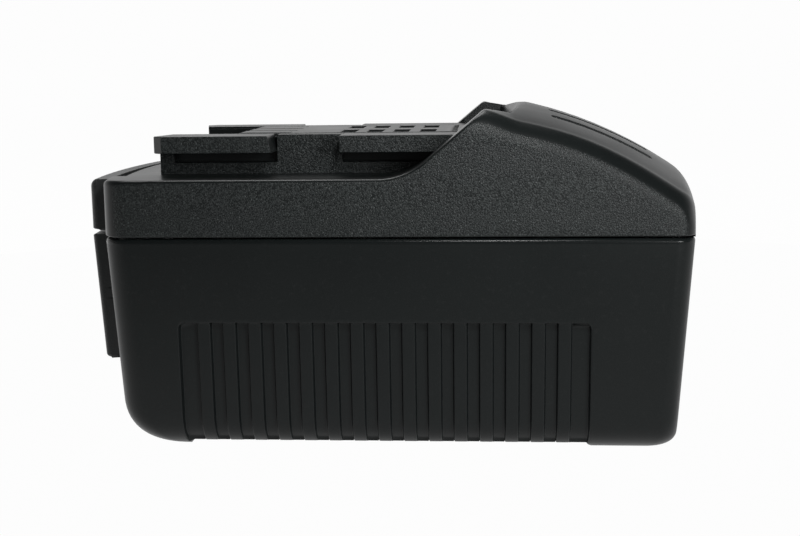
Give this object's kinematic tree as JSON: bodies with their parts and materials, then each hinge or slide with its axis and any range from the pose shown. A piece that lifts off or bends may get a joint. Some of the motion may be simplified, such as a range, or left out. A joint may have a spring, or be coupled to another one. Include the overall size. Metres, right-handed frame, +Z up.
{
  "type": "power tool battery pack",
  "caption": "Slide-on battery pack for a cordless power tool: dark split casing with slide rails, contact block, vented rear hump, ribbed sides and a sprung release button.",
  "frame": {"origin": "middle of the footprint's bounding box at the underside of the feet, on the pack's middle plane", "axes": "+X from the release button at the front end to the hump at the rear, +Y to the pack's right seen from the hump, +Z up out of the deck"},
  "size_m": [0.1262, 0.0754, 0.0694],
  "materials": {
    "casing_textured": "fine spark-eroded grain, charcoal",
    "casing_satin": "satin, charcoal",
    "trim": "satin, charcoal",
    "latch": "moulded, dark grey",
    "gauge_button": "moulded, grey",
    "lens": "clear moulding, frosted",
    "lights": "clear",
    "switch": "moulded",
    "board": "green solder mask",
    "components": "moulded",
    "holder": "moulded, grey",
    "cell": "shrink sleeve, blue",
    "nickel": "plated strip",
    "contact": "plated spring brass",
    "sheet": "fish paper",
    "foam": "closed cell foam",
    "cable": "flat cable",
    "spring_steel": "drawn wire",
    "screw_steel": "plated"
  },
  "bodies": {
    "pack": {"upper_casing": "casing_textured", "lower_casing": "casing_satin", "gauge_panel": "trim", "latch_guide": "latch", "guide_screws": "screw_steel", "gauge_lens": "lens", "gauge_board": "board", "gauge_lights": "lights", "gauge_switch": "switch", "gauge_screws": "screw_steel", "gauge_cable": "cable", "cell_holder_left": "holder", "cell_holder_right": "holder", "insulator_left": "sheet", "insulator_right": "sheet", "foam_pad_left": "foam", "foam_pad_right": "foam", "main_board": "board", "board_components": "components", "board_screws": "screw_steel", "terminal_carrier": "latch", "thermistor": "components", "casing_screws": "screw_steel", "cell_1": "cell", "cell_2": "cell", "cell_3": "cell", "cell_4": "cell", "cell_5": "cell", "cell_6": "cell", "cell_7": "cell", "cell_8": "cell", "cell_9": "cell", "cell_10": "cell", "terminal_1": "contact", "terminal_2": "contact", "terminal_3": "contact", "terminal_4": "contact", "link_left_1": "nickel", "link_left_2": "nickel", "link_left_3": "nickel", "link_right_1": "nickel", "link_right_2": "nickel", "link_right_3": "nickel", "latch_spring": "spring_steel"},
    "button": {"release_button": "trim"},
    "bolt": {"latch_bolt": "latch"},
    "gauge_key": {"gauge_button": "gauge_button"}
  },
  "joints": [
    {"name": "button_press", "type": "slide", "parent": "pack", "child": "button", "axis": [1, 0, 0], "range_m": [0, 0.0028], "stiffness_N_per_m": 600, "springref_m": -0.006},
    {"name": "latch_drop", "type": "slide", "parent": "pack", "child": "bolt", "axis": [0, 0, -1], "range_m": [0, 0.0028], "stiffness_N_per_m": 600, "springref_m": -0.006, "deforming": ["latch_spring"]},
    {"name": "gauge_button_press", "type": "slide", "parent": "pack", "child": "gauge_key", "axis": [0.9982, 0, 0.0593], "range_m": [0, 0.0004], "stiffness_N_per_m": 1500, "springref_m": -0.0004}
  ],
  "couplings": [
    {"joint": "latch_drop", "follows": "button_press", "ratio": 1}
  ]
}
